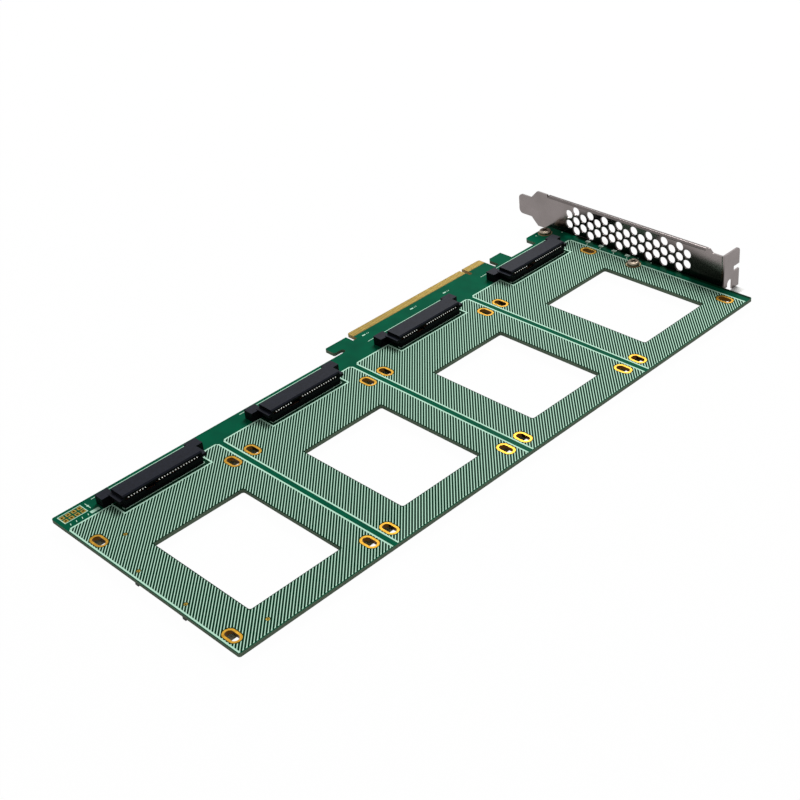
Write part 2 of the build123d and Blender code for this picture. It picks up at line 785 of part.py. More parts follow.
# Plated pads of the unfitted header, through the board
with BuildPart() as header_pads:
    header_middle = (bay_xs[0] + header_x, fixing_middle_y + header_y)
    with BuildSketch(Plane.XY.offset(board_low - plating_thick), Plane.XY):
        with Locations(header_middle):
            with GridLocations(header_pitch, header_pitch, header_columns, header_rows):
                Rectangle(header_pad, header_pad)
    extrude(amount=plating_thick)
    with BuildSketch(Plane.XY.offset(board_low)):
        with Locations(header_middle):
            with GridLocations(header_pitch, header_pitch, header_columns, header_rows):
                Circle(header_hole / 2 + plating_thick)
    extrude(amount=board_thick)
    with BuildSketch(Plane.XY.offset(board_low - plating_thick)):
        with Locations(header_middle):
            with GridLocations(header_pitch, header_pitch, header_columns, header_rows):
                Circle(header_hole / 2)
    extrude(amount=board_thick + 2 * plating_thick, mode=Mode.SUBTRACT)
finish(header_pads, "header_pads")

# Plated test holes in the first bay, a barrel with a small ring on each face
with BuildPart() as test_pads:
    with BuildSketch(bay_plane(0, board_low - plating_thick), bay_plane(0)):
        with Locations(*test_points):
            Circle(test_point_wide / 2)
    extrude(amount=plating_thick)
    with BuildSketch(bay_plane(0, board_low)):
        with Locations(*test_points):
            Circle(test_hole / 2 + plating_thick)
    extrude(amount=board_thick)
    with BuildSketch(bay_plane(0, board_low - plating_thick)):
        with Locations(*test_points):
            Circle(test_hole / 2)
    extrude(amount=board_thick + 2 * plating_thick, mode=Mode.SUBTRACT)
finish(test_pads, "test_pads")

# Solder side: two black parts at the far edge, the clock buffer and a bulk capacitor for each bay
with BuildPart() as edge_parts:
    with BuildSketch(Plane.XY.offset(board_low)):
        with Locations(*[(board_far_x + edge_part_inset, y) for y in edge_part_ys]):
            Rectangle(edge_part_wide, edge_part_long, align=(Align.MIN, Align.CENTER))
    extrude(amount=-edge_part_high)
finish(edge_parts, "edge_parts")

with BuildPart() as clock_buffer:
    with BuildSketch(Plane.XY.offset(board_low)):
        with Locations((buffer_x, buffer_y)):
            Rectangle(buffer_wide, buffer_wide)
    extrude(amount=-buffer_high)
    chamfer(clock_buffer.edges().group_by(Axis.Z)[0], buffer_chamfer)
finish(clock_buffer, "clock_buffer")

with BuildPart() as bulk_capacitors:
    for bay in range(bay_count):
        with BuildSketch(bay_plane(bay, board_low)):
            with Locations((capacitor_x, capacitor_y)):
                Rectangle(capacitor_long, capacitor_wide)
        extrude(amount=-capacitor_high)
finish(bulk_capacitors, "bulk_capacitors")
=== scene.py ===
"""Dresses a four-bay drive adapter card: board, ink, gold, receptacles, bracket, screws and lamps."""

from __future__ import annotations

import logging
import math
from collections.abc import Callable
from dataclasses import dataclass, field
from enum import Enum

import bmesh
import bpy
import numpy as np
from mathutils import Matrix, Vector


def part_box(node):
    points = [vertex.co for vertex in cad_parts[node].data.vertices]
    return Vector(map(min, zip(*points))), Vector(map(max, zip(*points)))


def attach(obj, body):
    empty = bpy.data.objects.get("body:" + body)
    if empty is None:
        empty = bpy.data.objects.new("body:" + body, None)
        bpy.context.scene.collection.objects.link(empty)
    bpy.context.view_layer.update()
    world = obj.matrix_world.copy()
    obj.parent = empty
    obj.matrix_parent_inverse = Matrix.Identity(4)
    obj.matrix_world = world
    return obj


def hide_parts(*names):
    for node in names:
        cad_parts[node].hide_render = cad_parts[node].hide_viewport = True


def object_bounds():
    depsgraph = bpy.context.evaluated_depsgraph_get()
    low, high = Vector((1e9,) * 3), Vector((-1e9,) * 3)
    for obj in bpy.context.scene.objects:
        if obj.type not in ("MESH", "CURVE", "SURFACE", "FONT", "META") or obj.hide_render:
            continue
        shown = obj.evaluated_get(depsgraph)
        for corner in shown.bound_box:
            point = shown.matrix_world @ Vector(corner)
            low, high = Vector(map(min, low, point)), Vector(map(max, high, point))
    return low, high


LOG = logging.getLogger("adapter_card")
PHOTO_SIDE = 800
MM = 0.001
TAU = 2.0 * math.pi
# Points closer than this are one point, and faces that meet flatter than this are one face
WELD_MM = 0.002
FLAT_DEGREES = 1.0
# Only edges that turn by more than this are rounded, by a few flats along a part of a circle
SHARP_DEGREES = 35.0
ROUND_FLATS = 2
ROUND_PROFILE = 0.5
# Faces narrower than this are shaded smooth
NARROW_MM = 0.3
# A surface faces an axis where its normal's share along that axis is above this
FACING_SHARE = 0.5
# Octaves of a plain grain, and of a cloudy drift or print
GRAIN_OCTAVES = 2.0
DRIFT_OCTAVES = 3.0
# Angles of a dome's rings, in degrees up from its rim
DOME_LIFTS = (0.0, 35.0, 65.0)

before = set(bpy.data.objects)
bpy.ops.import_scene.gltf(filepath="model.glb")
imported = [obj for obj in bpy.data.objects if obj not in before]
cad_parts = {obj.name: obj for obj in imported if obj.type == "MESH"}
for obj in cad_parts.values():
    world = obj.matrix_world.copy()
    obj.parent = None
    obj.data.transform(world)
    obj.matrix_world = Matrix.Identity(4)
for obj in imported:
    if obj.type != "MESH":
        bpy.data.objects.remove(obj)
CAD_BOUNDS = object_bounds()


class Slot(Enum):
    """The record's material slots, by name."""

    CONTACT_GOLD = "contact_gold"
    RECEPTACLE_BLACK = "receptacle_black"
    BRACKET_STEEL = "bracket_steel"
    SCREW_STEEL = "screw_steel"


def linear(code: str) -> tuple[float, float, float, float]:
    """Turns an sRGB hex colour into the linear colour that a shader takes.

    The curve is the standard one: straight near black, and a power of 2.4 above.

    Args:
        code: Six hex digits after a hash sign.

    Returns:
        Red, green, blue and an alpha of one.
    """
    parts = [int(code[at : at + 2], 16) / 255 for at in (1, 3, 5)]
    red, green, blue = (
        part / 12.92 if part <= 0.04045 else ((part + 0.055) / 1.055) ** 2.4 for part in parts
    )
    return (red, green, blue, 1.0)


def add_node(
    tree: bpy.types.NodeTree,
    kind: str,
    settings: dict[str, object] | None = None,
    values: dict[int | str, object] | None = None,
    links: dict[int | str, bpy.types.NodeSocket] | None = None,
) -> bpy.types.Node:
    """Adds one shader node.

    Args:
        tree: The material's node tree.
        kind: The node's type name.
        settings: Properties of the node itself.
        values: Values for its inputs, by name or place.
        links: Sockets that feed its inputs, by name or place.

    Returns:
        The new node.
    """
    node = tree.nodes.new(kind)
    for key, value in (settings or {}).items():
        setattr(node, key, value)
    for key, value in (values or {}).items():
        node.inputs[key].default_value = value
    for key, socket in (links or {}).items():
        tree.links.new(socket, node.inputs[key])
    return node


def new_material(name: str) -> tuple[bpy.types.Material, bpy.types.NodeTree, bpy.types.Node]:
    """Makes an empty material with a Principled shader on its output.

    Args:
        name: The material's name.

    Returns:
        The material, its tree and the Principled node.
    """
    material = bpy.data.materials.new(name)
    material.use_nodes = True
    tree = material.node_tree
    tree.nodes.clear()
    shader = add_node(tree, "ShaderNodeBsdfPrincipled")
    add_node(tree, "ShaderNodeOutputMaterial", links={"Surface": shader.outputs["BSDF"]})
    return material, tree, shader


def object_place(tree: bpy.types.NodeTree) -> bpy.types.NodeSocket:
    """Gives the socket with the object coordinates, in metres."""
    return add_node(tree, "ShaderNodeTexCoord").outputs["Object"]


def noise(
    tree: bpy.types.NodeTree,
    grain_mm: float,
    detail: float = GRAIN_OCTAVES,
    stretch: tuple[float, float, float] = (1.0, 1.0, 1.0),
) -> bpy.types.NodeSocket:
    """Adds a noise of a real grain size.

    Args:
        tree: The material's node tree.
        grain_mm: Size of one grain in millimetres.
        detail: Number of finer octaves.
        stretch: Scale of the coordinates along each axis, above one for a finer grain.

    Returns:
        The noise's value socket.
    """
    mapping = add_node(
        tree,
        "ShaderNodeMapping",
        values={"Scale": stretch},
        links={"Vector": object_place(tree)},
    )
    texture = add_node(
        tree,
        "ShaderNodeTexNoise",
        values={"Scale": 1.0 / (grain_mm * MM), "Detail": detail},
        links={"Vector": mapping.outputs["Vector"]},
    )
    return texture.outputs["Fac"]


def spread(
    tree: bpy.types.NodeTree,
    value: bpy.types.NodeSocket,
    low: float,
    high: float,
    start: float = 0.3,
    end: float = 0.7,
) -> bpy.types.NodeSocket:
    """Maps a noise value onto a range, clamped at both ends.

    Args:
        tree: The material's node tree.
        value: The socket to map.
        low: Result at and below start.
        high: Result at and above end.
        start: Lower end of what comes in.
        end: Upper end of what comes in.

    Returns:
        The mapped value's socket.
    """
    node = add_node(
        tree,
        "ShaderNodeMapRange",
        values={"From Min": start, "From Max": end, "To Min": low, "To Max": high},
        links={"Value": value},
    )
    return node.outputs["Result"]


def blend(
    tree: bpy.types.NodeTree,
    share: bpy.types.NodeSocket,
    first: str | bpy.types.NodeSocket,
    second: str | bpy.types.NodeSocket,
) -> bpy.types.NodeSocket:
    """Mixes two colours, each a hex value or a socket.

    Args:
        tree: The material's node tree.
        share: How much of the second colour shows.
        first: The colour at a share of zero.
        second: The colour at a share of one.

    Returns:
        The mixed colour's socket.
    """
    node = add_node(tree, "ShaderNodeMix", {"data_type": "RGBA"}, links={"Factor": share})
    for name, colour in (("A", first), ("B", second)):
        socket = next(s for s in node.inputs if s.name == name and s.type == "RGBA")
        if isinstance(colour, str):
            socket.default_value = linear(colour)
        else:
            tree.links.new(colour, socket)
    return next(s for s in node.outputs if s.type == "RGBA")


def bump(
    tree: bpy.types.NodeTree,
    shader: bpy.types.Node,
    height: bpy.types.NodeSocket,
    depth_mm: float,
) -> None:
    """Feeds a height into the shader's normal.

    Args:
        tree: The material's node tree.
        shader: The Principled node.
        height: A value from zero to one.
        depth_mm: Height of a value of one, in millimetres.
    """
    node = add_node(
        tree,
        "ShaderNodeBump",
        values={"Distance": depth_mm * MM, "Strength": 1.0},
        links={"Height": height},
    )
    tree.links.new(node.outputs["Normal"], shader.inputs["Normal"])


def math_node(
    tree: bpy.types.NodeTree,
    operation: str,
    first: bpy.types.NodeSocket,
    second: float | bpy.types.NodeSocket = 0.0,
) -> bpy.types.NodeSocket:
    """Adds one Math node.

    Args:
        tree: The material's node tree.
        operation: The node's operation.
        first: The first operand.
        second: The second operand, a number or a socket.

    Returns:
        The result's socket.
    """
    node = add_node(tree, "ShaderNodeMath", {"operation": operation}, links={0: first})
    if isinstance(second, (int, float)):
        node.inputs[1].default_value = second
    else:
        tree.links.new(second, node.inputs[1])
    return node.outputs["Value"]


def inverse(tree: bpy.types.NodeTree, mask: bpy.types.NodeSocket) -> bpy.types.NodeSocket:
    """Gives one where a mask is zero and zero where it is one."""
    return math_node(tree, "ABSOLUTE", math_node(tree, "SUBTRACT", mask, 1.0))


def between(
    tree: bpy.types.NodeTree, value: bpy.types.NodeSocket, low_mm: float, high_mm: float
) -> bpy.types.NodeSocket:
    """Gives one where a length lies between two bounds, and else zero.

    Args:
        tree: The material's node tree.
        value: The length's socket, in metres.
        low_mm: The lower bound in millimetres.
        high_mm: The upper bound in millimetres.

    Returns:
        The mask's socket.
    """
    above =math_node(tree, "GREATER_THAN", value, low_mm * MM)
    below = math_node(tree, "LESS_THAN", value, high_mm * MM)
    return math_node(tree, "MULTIPLY", above, below)


def facing_up(tree: bpy.types.NodeTree) -> bpy.types.NodeSocket:
    """Gives one where a surface faces up or down along Z, and zero on its sides.

    Args:
        tree: The material's node tree.

    Returns:
        The mask's socket.
    """
    normal = add_node(tree, "ShaderNodeTexCoord").outputs["Normal"]
    facing = add_node(tree, "ShaderNodeSeparateXYZ", links={0: normal})
    level = math_node(tree, "ABSOLUTE", facing.outputs["Z"])
    return math_node(tree, "GREATER_THAN", level, FACING_SHARE)


@dataclass(frozen=True)
class BayLayout:
    """Where the drive bays lie, in millimetres, read from the plated slots of the frame."""

    count: int
    pitch: float
    last_x: float
    middle_y: float

    @classmethod
    def from_frame(cls, count: int = 4) -> BayLayout:
        """Reads the layout from the first and the last bay's plated slots.

        Args:
            count: Number of bays.

        Returns:
            The layout.
        """
        first = np.array(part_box("plated_slots_1")).mean(axis=0) / MM
        last = np.array(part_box(f"plated_slots_{count}")).mean(axis=0) / MM
        return cls(count, float(last[0] - first[0]) / (count - 1), float(last[0]), float(last[1]))

    def middle_x(self, number: int) -> float:
        """Gives the middle of a bay along the card, counted from one at the far end."""
        return self.last_x - (self.count - number) * self.pitch

    def offset(self, tree: bpy.types.NodeTree, along: bpy.types.NodeSocket) -> bpy.types.NodeSocket:
        """Gives the distance from the nearest bay's middle along the card, signed, in metres.

        X is moved up by whole pitches and half a pitch, so that it stays above zero, cut to one
        pitch by the modulo, and moved back by the half pitch.

        Args:
            tree: The material's node tree.
            along: The X coordinate in metres.

        Returns:
            The offset's socket.
        """
        shifted = math_node(tree, "ADD", along, (self.pitch * (self.count + 0.5) - self.last_x) * MM)
        within = math_node(tree, "MODULO", shifted, self.pitch * MM)
        return math_node(tree, "SUBTRACT", within, self.pitch * MM / 2)


BAYS = BayLayout.from_frame()


@dataclass(frozen=True)
class SolderMaskFinish:
    """Green epoxy solder mask over glass-epoxy laminate.

    The mask is a thin smooth coat: deep green where copper lies under it, darker between the
    printed lines of the component face. Near the tongue's tip it stops, and tan laminate shows
    between the contacts. The sawn edges show resin and glass, grey green, and tan on the tongue.
    """

    over_copper: str = "#005c40"
    over_copper_dim: str = "#035039"
    between_lines: str = "#04301d"
    bare_laminate: str = "#8f7a48"
    cut_edge: str = "#6f7f6d"
    cut_edge_dim: str = "#566554"
    cut_tongue: str = "#c0a87c"
    cut_tongue_dim: str = "#a0885c"
    tongue_mm: float = -9.0
    bare_from_mm: float = -4.5
    past_contacts_mm: float = 1.0
    roughness: float = 0.22
    edge_roughness: float = 0.7
    edge_roughness_drift: float = 0.03
    edge_grain_mm: float = 3.0
    refraction: float = 1.5
    gloss_level: float = 0.012
    zone_half_mm: float = 33.9
    zone_low_mm: float = -46.5
    zone_high_mm: float = 52.3
    top_from_mm: float = -0.8
    patch_mm: float = 9.0
    orange_peel_mm: float = 1.6
    peel_depth_mm: float = 0.003
    glass_mm: float = 0.5
    glass_stretch: tuple[float, float, float] = (1.0, 1.0, 4.0)

    def material(self) -> bpy.types.Material:
        """Builds the material; the hatched zones are told apart by their place on the board.

        Returns:
            The material.
        """
        material, tree, shader = new_material("solder_mask_on_laminate")
        place = add_node(tree, "ShaderNodeSeparateXYZ", links={0: object_place(tree)})
        offset = math_node(tree, "ABSOLUTE", BAYS.offset(tree, place.outputs["X"]))
        in_width = math_node(tree, "LESS_THAN", offset, self.zone_half_mm * MM)
        low, high = BAYS.middle_y + self.zone_low_mm, BAYS.middle_y + self.zone_high_mm
        in_zone = math_node(tree, "MULTIPLY", in_width, between(tree, place.outputs["Y"], low, high))
        on_top = math_node(tree, "GREATER_THAN", place.outputs["Z"], self.top_from_mm * MM)
        in_zone = math_node(tree, "MULTIPLY", in_zone, on_top)
        patches = spread(tree, noise(tree, self.patch_mm), 0.0, 1.0)
        plain = blend(tree, patches, self.over_copper, self.over_copper_dim)
        mask = blend(tree, in_zone, plain, self.between_lines)
        contacts = np.array(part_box("edge_contacts_front"))[:, 0] / MM
        first, last = contacts[0] - self.past_contacts_mm, contacts[1] + self.past_contacts_mm
        beside = between(tree, place.outputs["X"], first, last)
        unmasked = math_node(tree, "GREATER_THAN", place.outputs["Y"], self.bare_from_mm * MM)
        unmasked = math_node(tree, "MULTIPLY", unmasked, beside)
        mask = blend(tree, unmasked, mask, self.bare_laminate)
        glass = spread(tree, noise(tree, self.glass_mm, stretch=self.glass_stretch), 0.0, 1.0)
        tongue = math_node(tree, "GREATER_THAN", place.outputs["Y"], self.tongue_mm * MM)
        tongue = math_node(tree, "MULTIPLY", tongue, beside)
        edge = blend(
            tree,
            tongue,
            blend(tree, glass, self.cut_edge, self.cut_edge_dim),
            blend(tree, glass, self.cut_tongue, self.cut_tongue_dim),
        )
        on_face = facing_up(tree)
        tree.links.new(blend(tree, on_face, edge, mask), shader.inputs["Base Color"])
        matt, drift = self.edge_roughness, self.edge_roughness_drift
        rough = math_node(
            tree,
            "ADD",
            math_node(tree, "MULTIPLY", on_face, self.roughness - matt),
            spread(tree, noise(tree, self.edge_grain_mm), matt - drift, matt + drift),
        )
        tree.links.new(rough, shader.inputs["Roughness"])
        shader.inputs["IOR"].default_value = self.refraction
        shader.inputs["Specular IOR Level"].default_value = self.gloss_level
        bump(tree, shader, noise(tree, self.orange_peel_mm), self.peel_depth_mm)
        return material


@dataclass(frozen=True)
class InkFinish:
    """Screen-printed white epoxy ink: matt, a little thin, so that some green shows through.

    The fine hatch lines were printed at the screen's limit, so their edges fade into the mask.
    """

    full: str = "#cdf4de"
    thin: str = "#b0e2c6"
    faded: str = "#08402a"
    pitch_mm: float = 1.5
    shift_mm: float = 0.1
    core_mm: float = 0.12
    edge_mm: float = 0.21
    zone_half_mm: float = 33.9
    zone_low_mm: float = -46.1
    zone_high_mm: float = 52.2
    notch_mm: tuple[float, float] = (-15.8, 25.8)
    notch_floor_mm: float = 43.8
    roughness: float = 0.62
    gloss_level: float = 0.1
    mesh_mm: float = 0.25
    mesh_depth_mm: float = 0.006
    cover_range: tuple[float, float] = (0.35, 0.75)

    def material(self) -> bpy.types.Material:
        """Builds the material, with the print screen's mesh as a faint change of cover.

        Returns:
            The material.
        """
        material, tree, shader = new_material("screen_printed_ink")
        cover = spread(tree, noise(tree, self.mesh_mm, DRIFT_OCTAVES), 0.0, 1.0, *self.cover_range)
        ink = blend(tree, cover, self.full, self.thin)
        fade = math_node(tree, "MULTIPLY", self.on_hatch(tree), self.from_core(tree))
        tree.links.new(blend(tree, fade, ink, self.faded), shader.inputs["Base Color"])
        shader.inputs["Roughness"].default_value = self.roughness
        shader.inputs["Specular IOR Level"].default_value = self.gloss_level
        bump(tree, shader, cover, self.mesh_depth_mm)
        return material

    def local(self, tree: bpy.types.NodeTree) -> tuple[bpy.types.NodeSocket, bpy.types.NodeSocket]:
        """Gives the place within a bay, from its middle.

        Args:
            tree: The material's node tree.

        Returns:
            The offsets along X and along Y, in metres.
        """
        place = add_node(tree, "ShaderNodeSeparateXYZ", links={0: object_place(tree)})
        along = math_node(tree, "SUBTRACT", place.outputs["Y"], BAYS.middle_y * MM)
        return BAYS.offset(tree, place.outputs["X"]), along

    def on_hatch(self, tree: bpy.types.NodeTree) -> bpy.types.NodeSocket:
        """Gives one inside the hatched zone and zero on its border line and outside.

        Args:
            tree: The material's node tree.

        Returns:
            The mask's socket.
        """
        across, along = self.local(tree)
        in_zone = math_node(
            tree,
            "MULTIPLY",
            between(tree, across, -self.zone_half_mm, self.zone_half_mm),
            between(tree, along, self.zone_low_mm, self.zone_high_mm),
        )
        in_notch = math_node(
            tree,
            "MULTIPLY",
            between(tree, across, *self.notch_mm),
            math_node(tree, "GREATER_THAN", along, self.notch_floor_mm * MM),
        )
        return math_node(tree, "MULTIPLY", in_zone, inverse(tree, in_notch))

    def from_core(self, tree: bpy.types.NodeTree) -> bpy.types.NodeSocket:
        """Gives how far a point lies from the core of its hatch line, from zero to one.

        The lines run at 45 degrees, so X less Y is the same along a line, and its distance from
        the nearest multiple of the pitch, over the root of two, is the distance from the line.

        Args:
            tree: The material's node tree.

        Returns:
            The share's socket.
        """
        across, along = self.local(tree)
        slant = math_node(tree, "SUBTRACT", across, along)
        slant = math_node(tree, "SUBTRACT", slant, self.shift_mm * MM)
        away = math_node(tree, "PINGPONG", slant, self.pitch_mm * MM / 2)
        reach = math.sqrt(2.0) * MM
        return spread(tree, away, 0.0, 1.0, self.core_mm * reach, self.edge_mm * reach)


@dataclass(frozen=True)
class MetalFinish:
    """A plated metal: its colour, a second tone that drifts over it, and a fine grain.

    The grain is drawn coarser than the real one, so that it shows in close views. Where a mask is
    given, shade is painted there: the metal takes a deeper tone.
    """

    name: str
    tone: str
    second_tone: str
    roughness: float
    roughness_drift: float
    drift_mm: float
    grain_mm: float
    grain_depth_mm: float
    grain_stretch: tuple[float, float, float] = (1.0, 1.0, 1.0)
    # Painted shade: the tone, and the mask that says where it is painted into the metal's colour
    painted_shade_tone: str = "#000000"
    deep: Callable[[bpy.types.NodeTree], bpy.types.NodeSocket] | None = None

    def material(self) -> bpy.types.Material:
        """Builds the material.

        Returns:
            The material.
        """
        material, tree, shader = new_material(self.name)
        drift = spread(tree, noise(tree, self.drift_mm, DRIFT_OCTAVES), 0.0, 1.0)
        colour = blend(tree, drift, self.tone, self.second_tone)
        # Painted shade: the colour goes to the deeper tone where the mask is one
        if self.deep is not None:
            colour = blend(tree, self.deep(tree), colour, self.painted_shade_tone)
        tree.links.new(colour, shader.inputs["Base Color"])
        shader.inputs["Metallic"].default_value = 1.0
        grain = noise(tree, self.grain_mm, stretch=self.grain_stretch)
        low, high = self.roughness - self.roughness_drift, self.roughness + self.roughness_drift
        tree.links.new(spread(tree, grain, low, high), shader.inputs["Roughness"])
        bump(tree, shader, grain, self.grain_depth_mm)
        return material


@dataclass(frozen=True)
class MouldedFinish:
    """A moulded body: one colour with a slight drift, the fine grain of its mould, and where given a
    painted shade on its sides.
    """

    name: str
    tone: str
    second_tone: str
    roughness: float
    refraction: float
    grain_mm: float
    grain_depth_mm: float
    gloss_level: float = 0.5
    drift_mm: float = 1.2
    roughness_drift: float = 0.05
    # Painted shade: a darker tone for the sides than for the top
    painted_shade_side_tone: str | None = None

    def material(self) -> bpy.types.Material:
        """Builds the material; the sides may take a darker tone than the top, as a painted shade.

        Returns:
            The material.
        """
        material, tree, shader = new_material(self.name)
        drift = spread(tree, noise(tree, self.drift_mm, DRIFT_OCTAVES), 0.0, 1.0)
        colour = blend(tree, drift, self.tone, self.second_tone)
        # Painted shade: the sides take the darker tone, the top keeps the drifting colour
        if self.painted_shade_side_tone is not None:
            colour = blend(tree, facing_up(tree), self.painted_shade_side_tone, colour)
        tree.links.new(colour, shader.inputs["Base Color"])
        shader.inputs["IOR"].default_value = self.refraction
        shader.inputs["Specular IOR Level"].default_value = self.gloss_level
        grain = noise(tree, self.grain_mm)
        low, high = self.roughness - self.roughness_drift, self.roughness + self.roughness_drift
        tree.links.new(spread(tree, grain, low, high), shader.inputs["Roughness"])
        bump(tree, shader, grain, self.grain_depth_mm)
        return material


@dataclass(frozen=True)
class ContactFinish:
    """Spring contacts: the upper row and the feet are tinned bright, the lower rows dull gold."""

    bright: str = "#f4f3ee"
    dull: str = "#4a3420"
    upper_mm: float = 3.6
    behind_mm: float = 54.3
    roughness: float = 0.3
    roughness_drift: float = 0.05
    grain_mm: float = 0.2
    grain_depth_mm: float = 0.0005

    def material(self) -> bpy.types.Material:
        """Builds the material; the rows are told apart by their height inside the housing.

        Returns:
            The material.
        """
        material, tree, shader = new_material("plated_contact_alloy")
        place = add_node(tree, "ShaderNodeSeparateXYZ", links={0: object_place(tree)})
        height, along = place.outputs["Z"], place.outputs["Y"]
        behind = math_node(tree, "GREATER_THAN", along, (BAYS.middle_y + self.behind_mm) * MM)
        upper = math_node(tree, "GREATER_THAN", height, self.upper_mm * MM)
        share = math_node(tree, "MAXIMUM", behind, upper)
        tree.links.new(blend(tree, share, self.dull, self.bright), shader.inputs["Base Color"])
        shader.inputs["Metallic"].default_value = 1.0
        grain = noise(tree, self.grain_mm)
        low, high = self.roughness - self.roughness_drift, self.roughness + self.roughness_drift
        tree.links.new(spread(tree, grain, low, high), shader.inputs["Roughness"])
        bump(tree, shader, grain, self.grain_depth_mm)
        return material


@dataclass(frozen=True)
class CapacitorFinish:
    """A chip capacitor: a sintered ceramic body between two tinned end caps."""

    body: str = "#8a6f4c"
    cap: str = "#c9c6c0"
    middle_x_mm: float = -8.0
    body_half_mm: float = 1.05
    roughness: float = 0.42
    roughness_drift: float = 0.08
    grain_mm: float = 0.3
    grain_depth_mm: float = 0.003

    def material(self) -> bpy.types.Material:
        """Builds the material; the caps are told from the body by their place in the bay.

        Returns:
            The material.
        """
        material, tree, shader = new_material("tinned_ceramic_capacitor")
        place = add_node(tree, "ShaderNodeSeparateXYZ", links={0: object_place(tree)})
        offset = BAYS.offset(tree, place.outputs["X"])
        low, high = self.middle_x_mm - self.body_half_mm, self.middle_x_mm + self.body_half_mm
        on_cap = inverse(tree, between(tree, offset, low, high))
        grain = noise(tree, self.grain_mm, DRIFT_OCTAVES)
        tree.links.new(blend(tree, on_cap, self.body, self.cap), shader.inputs["Base Color"])
        tree.links.new(on_cap, shader.inputs["Metallic"])
        low, high = self.roughness - self.roughness_drift, self.roughness + self.roughness_drift
        tree.links.new(spread(tree, grain, low, high), shader.inputs["Roughness"])
        bump(tree, shader, grain, self.grain_depth_mm)
        return material


@dataclass(frozen=True)
class FootShade:
    """Where shade is painted on the bracket's sheet: its inner face and vent walls, below a sloping line.

    The line climbs from the blade's shoulder to just under the lip, runs along over the vents and
    sinks again towards the flange. The painted shade, standing in for the shaded board seen in
    reflection, sets in softly below it. The lip takes a share of it where it faces up, which dims
    its highlight.
    """

    sheet_mm: tuple[float, float] = (58.0, 59.4)
    start_mm: float = 8.0
    climb: float = 0.93
    crest_mm: float = 15.0
    end_mm: float = 85.0
    sink: float = 0.25
    above_mm: float = 1.0
    soft_mm: float = 4.0
    lip_ends_mm: tuple[float, float] = (4.0, 96.1)
    lip_low_mm: float = 15.0
    lip_facing: float = 0.15
    lip_share: float = 0.5

    def mask(self, tree: bpy.types.NodeTree) -> bpy.types.NodeSocket:
        """Gives the share of the painted shade.

        Args:
            tree: The material's node tree.

        Returns:
            The mask's socket, zero on the sheet's outer face and on its flange.
        """
        place = add_node(tree, "ShaderNodeSeparateXYZ", links={0: object_place(tree)})
        along = math_node(tree, "MULTIPLY", place.outputs["Y"], -1.0 / MM)
        height = math_node(tree, "MULTIPLY", place.outputs["Z"], 1.0 / MM)
        from_start = math_node(tree, "SUBTRACT", along, self.start_mm)
        climb = math_node(tree, "MULTIPLY", from_start, self.climb)
        past = math_node(tree, "MAXIMUM", math_node(tree, "SUBTRACT", along, self.end_mm), 0.0)
        crest = math_node(tree, "ADD", math_node(tree, "MULTIPLY", past, -self.sink), self.crest_mm)
        below = math_node(tree, "SUBTRACT", math_node(tree, "MINIMUM", climb, crest), height)
        share = spread(tree, below, 0.0, 1.0, -self.above_mm, self.soft_mm)
        normal = add_node(tree, "ShaderNodeTexCoord").outputs["Normal"]
        facing = add_node(tree, "ShaderNodeSeparateXYZ", links={0: normal})
        inner = math_node(tree, "LESS_THAN", facing.outputs["X"], FACING_SHARE)
        on_sheet = between(tree, place.outputs["X"], *self.sheet_mm)
        foot = math_node(tree, "MULTIPLY", share, math_node(tree, "MULTIPLY", inner, on_sheet))
        upward = math_node(tree, "GREATER_THAN", facing.outputs["Z"], self.lip_facing)
        high = math_node(tree, "GREATER_THAN", height, self.lip_low_mm)
        start, end = self.lip_ends_mm
        on_lip = between(tree, place.outputs["Y"], -end, -start)
        lip = math_node(tree, "MULTIPLY", on_lip, math_node(tree, "MULTIPLY", upward, high))
        # Painted shade: in full on the foot below the line, and by a share on the lip's top
        return math_node(tree, "MAXIMUM", foot, math_node(tree, "MULTIPLY", lip, self.lip_share))


def on_walls(tree: bpy.types.NodeTree) -> bpy.types.NodeSocket:
    """Gives one on the upright walls of a plated hole, where shade is painted, and zero on its rings."""
    return inverse(tree, facing_up(tree))


# Copper rings with a thin immersion gold: warm, soft-edged reflections, and a painted shade of dark brown
# on the barrel's walls
RING_GOLD = MetalFinish(
    name="immersion_gold",
    tone="#c2922f",
    second_tone="#9c7220",
    roughness=0.30,
    roughness_drift=0.06,
    drift_mm=1.5,
    grain_mm=0.3,
    grain_depth_mm=0.002,
    # Painted shade on the barrel's walls
    painted_shade_tone="#4a2e0c",
    deep=on_walls,
)
# Bare plated pads of the unfitted header: a darker, olive bronze gold than the rings
PAD_GOLD = MetalFinish(
    name="dull_immersion_gold",
    tone="#a5893a",
    second_tone="#84702c",
    roughness=0.36,
    roughness_drift=0.06,
    drift_mm=1.2,
    grain_mm=0.3,
    grain_depth_mm=0.002,
)
# Pads under the screw heads, tinned by the wave: a dull warm grey
PAD_TIN = MetalFinish(
    name="tinned_pad",
    tone="#8f8468",
    second_tone="#7a7054",
    roughness=0.38,
    roughness_drift=0.06,
    drift_mm=1.2,
    grain_mm=0.3,
    grain_depth_mm=0.003,
)
# Hard gold on the contact edge, a little duller from insertion
EDGE_GOLD = MetalFinish(
    name="hard_gold_plate",
    tone="#967f3e",
    second_tone="#877034",
    roughness=0.34,
    roughness_drift=0.05,
    drift_mm=3.0,
    grain_mm=0.25,
    grain_depth_mm=0.002,
)
